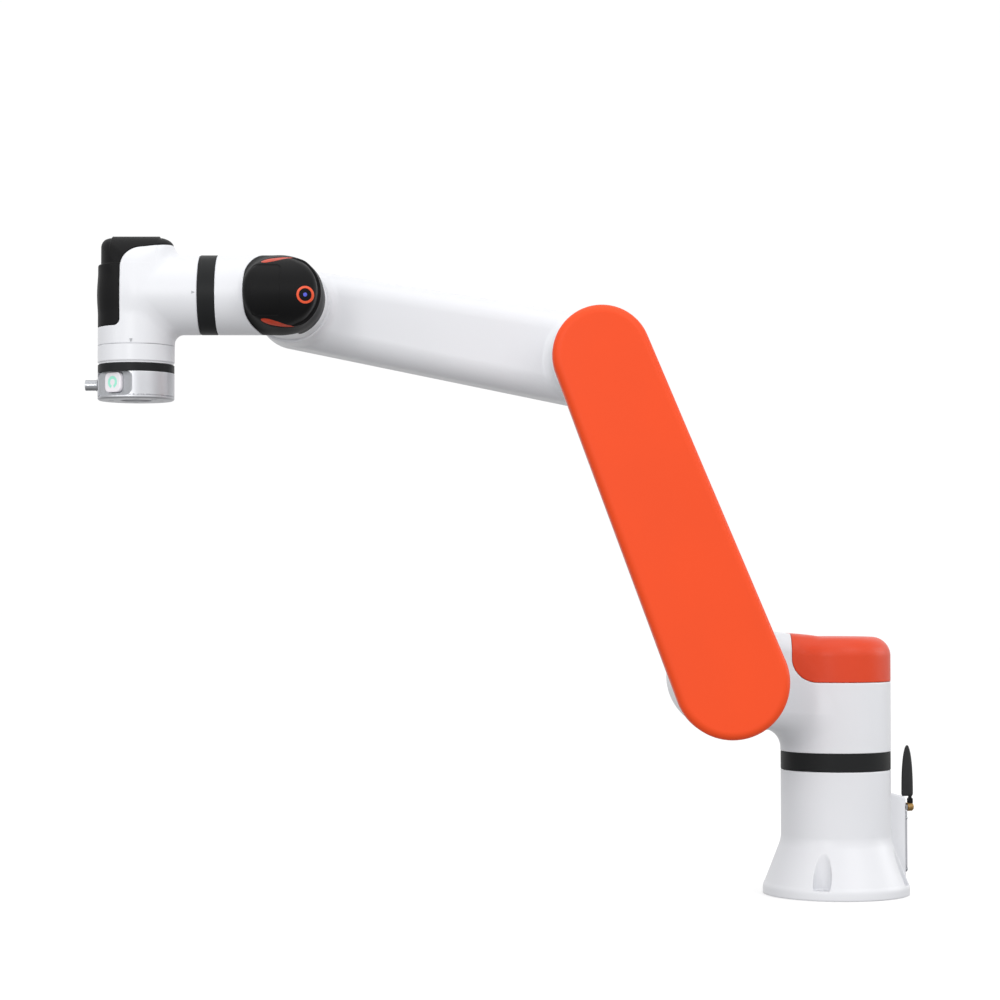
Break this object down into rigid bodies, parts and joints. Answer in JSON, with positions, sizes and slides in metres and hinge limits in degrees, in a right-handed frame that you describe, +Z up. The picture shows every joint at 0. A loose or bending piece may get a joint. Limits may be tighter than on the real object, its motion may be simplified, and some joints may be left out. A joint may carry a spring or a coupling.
{
  "type": "collaborative robot arm",
  "caption": "Table-top collaborative robot arm with flared bolt-down foot, orange-clad upper arm, slim white forearm, offset wrist modules and a round tool flange.",
  "frame": {"origin": "centre of the foot's underside, on the joint 1 axis", "axes": "+Z up along joint 1; at rest the arm lies in the XZ plane and reaches towards -X, with the upper arm and wrist on the -Y side"},
  "size_m": [0.8596, 0.2675, 0.6767],
  "materials": {
    "white_casting": "satin",
    "orange_cover": "satin",
    "orange_window": "gloss",
    "black_plastic": "satin",
    "black_seal": "satin",
    "cable_sleeve": "matte",
    "circuit_board": "satin",
    "motor_copper": "satin",
    "brass": "polished",
    "bare_aluminium": "satin",
    "steel": "satin",
    "button_plastic": "satin"
  },
  "bodies": {
    "base": {"base_casting": "white_casting", "base_plate": "bare_aluminium", "connector_box": "white_casting", "connector_panel": "bare_aluminium", "panel_screws": "steel", "panel_sockets": "black_plastic", "antenna_connector": "brass", "antenna_knuckle": "black_plastic", "j1_ring": "black_seal", "j1_gear_unit": "steel", "j1_motor": "motor_copper", "j1_rotor": "steel", "j1_board": "circuit_board"},
    "antenna": {"antenna_blade": "black_plastic"},
    "shoulder": {"shoulder_casting": "white_casting", "shoulder_cap": "orange_cover", "shoulder_rear_cover": "white_casting", "j1_output": "steel", "j2_gear_unit": "steel", "j2_motor": "motor_copper", "j2_rotor": "steel", "j2_board": "circuit_board"},
    "upper_arm": {"upper_arm_casting": "white_casting", "upper_arm_cover": "orange_cover", "upper_arm_harness": "cable_sleeve", "j2_output": "steel", "j3_gear_unit": "steel", "j3_motor": "motor_copper", "j3_rotor": "steel", "j3_board": "circuit_board"},
    "forearm": {"forearm_casting": "white_casting", "forearm_rear_cover": "white_casting", "forearm_harness": "cable_sleeve", "j3_output": "steel", "j4_gear_unit": "steel", "j4_motor": "motor_copper", "j4_rotor": "steel", "j4_board": "circuit_board"},
    "wrist_1": {"wrist_1_casting": "white_casting", "wrist_1_hood": "black_plastic", "hood_windows": "orange_window", "j5_ring": "black_seal", "j4_output": "steel", "j5_gear_unit": "steel", "j5_motor": "motor_copper", "j5_rotor": "steel", "j5_board": "circuit_board"},
    "wrist_2": {"wrist_2_casting": "white_casting", "wrist_2_hood": "black_plastic", "j5_output": "steel", "j6_gear_unit": "steel", "j6_motor": "motor_copper", "j6_rotor": "steel", "j6_board": "circuit_board"},
    "tool_flange": {"tool_flange": "bare_aluminium", "j6_ring": "black_seal", "j6_output": "steel", "tool_connector": "steel", "button_frame": "bare_aluminium"},
    "teach_button": {"teach_button": "button_plastic"}
  },
  "joints": [
    {"name": "j1_base", "type": "hinge", "parent": "base", "child": "shoulder", "pos_m": [0, 0, 0.1496], "axis": [0, 0, 1], "range_deg": [-175, 175]},
    {"name": "j2_shoulder", "type": "hinge", "parent": "shoulder", "child": "upper_arm", "pos_m": [-0.1215, -0.06, 0.2265], "axis": [0, 1, 0], "range_deg": [-98, 141]},
    {"name": "j3_elbow", "type": "hinge", "parent": "upper_arm", "child": "forearm", "pos_m": [-0.25263, -0.06, 0.55854], "axis": [0, -1, 0], "range_deg": [-198, 82]},
    {"name": "j4_wrist_1", "type": "hinge", "parent": "forearm", "child": "wrist_1", "pos_m": [-0.57229, -0.06, 0.61721], "axis": [0, 1, 0], "range_deg": [-150, 150]},
    {"name": "j5_wrist_2", "type": "hinge", "parent": "wrist_1", "child": "wrist_2", "pos_m": [-0.65654, -0.131, 0.61721], "axis": [-1, 0, 0], "range_deg": [-175, 175]},
    {"name": "j6_tool", "type": "hinge", "parent": "wrist_2", "child": "tool_flange", "pos_m": [-0.72229, -0.131, 0.54621], "axis": [0, 0, -1], "range_deg": [-175, 175]},
    {"name": "teach_button_press", "type": "slide", "parent": "tool_flange", "child": "teach_button", "axis": [0.5878, 0.809, 0], "range_m": [0, 0.0012], "stiffness_N_per_m": 400, "springref_m": -0.003},
    {"name": "antenna_tilt", "type": "hinge", "parent": "base", "child": "antenna", "pos_m": [0.08159, 0.01977, 0.0966], "axis": [-0.4384, 0.8988, 0], "range_deg": [0, 90]}
  ]
}
